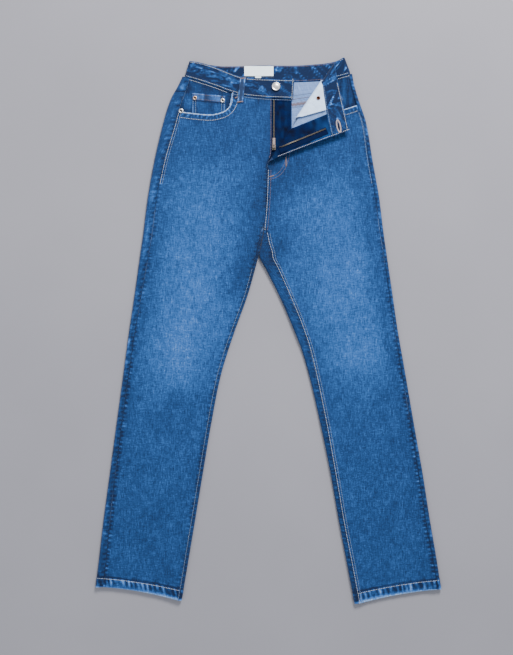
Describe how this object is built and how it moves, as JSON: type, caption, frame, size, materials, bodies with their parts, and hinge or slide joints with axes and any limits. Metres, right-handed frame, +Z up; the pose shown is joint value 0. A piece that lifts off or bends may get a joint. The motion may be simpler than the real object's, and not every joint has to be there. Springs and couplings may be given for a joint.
{
  "type": "slim straight jeans",
  "caption": "Mid-blue slim straight denim jeans laid flat on their back, fly and button open, with one front corner of the waist folded outward.",
  "frame": {"origin": "middle of the garment's box, on the surface that it lies on", "axes": "+X to the wearer's left, +Y to the waist, +Z up out of the front of the garment"},
  "size_m": [0.6998, 1.1058, 0.0235],
  "materials": {
    "denim": "matte",
    "dark_denim": "matte",
    "cotton": "matte",
    "label_weave": "satin",
    "zip_cloth": "matte",
    "nickel": "polished",
    "copper": "satin",
    "brass": "satin"
  },
  "bodies": {
    "garment": {"back_left": "denim", "back_pocket_left": "denim", "back_pocket_right": "denim", "back_right": "denim", "coin_pocket": "denim", "fly_facing": "dark_denim", "fly_shield": "dark_denim", "front_left": "denim", "front_right": "denim", "loop_back_centre": "denim", "loop_back_left": "denim", "loop_back_right": "denim", "loop_front_left": "denim", "loop_front_right": "denim", "pocket_bag_left": "cotton", "pocket_facing_left": "denim", "pocket_facing_right": "denim", "rivet_back_left": "copper", "rivet_coin_centre": "nickel", "rivet_coin_side": "copper", "rivet_side_right": "nickel", "size_tab": "label_weave", "waist_button": "nickel", "waist_label": "label_weave", "waistband": "denim", "yoke_left": "denim", "yoke_right": "denim", "zip_slider": "brass", "zip_tape_left": "zip_cloth", "zip_tape_right": "zip_cloth", "zip_teeth_left": "brass", "zip_teeth_right": "brass"},
    "pull_tab": {"zip_pull": "brass"}
  },
  "joints": [
    {"name": "pull_tab_hinge", "type": "hinge", "parent": "garment", "child": "pull_tab", "pos_m": [0.01125, 0.37044, 0.0108], "axis": [1, 0, 0], "range_deg": [0, 100]}
  ]
}
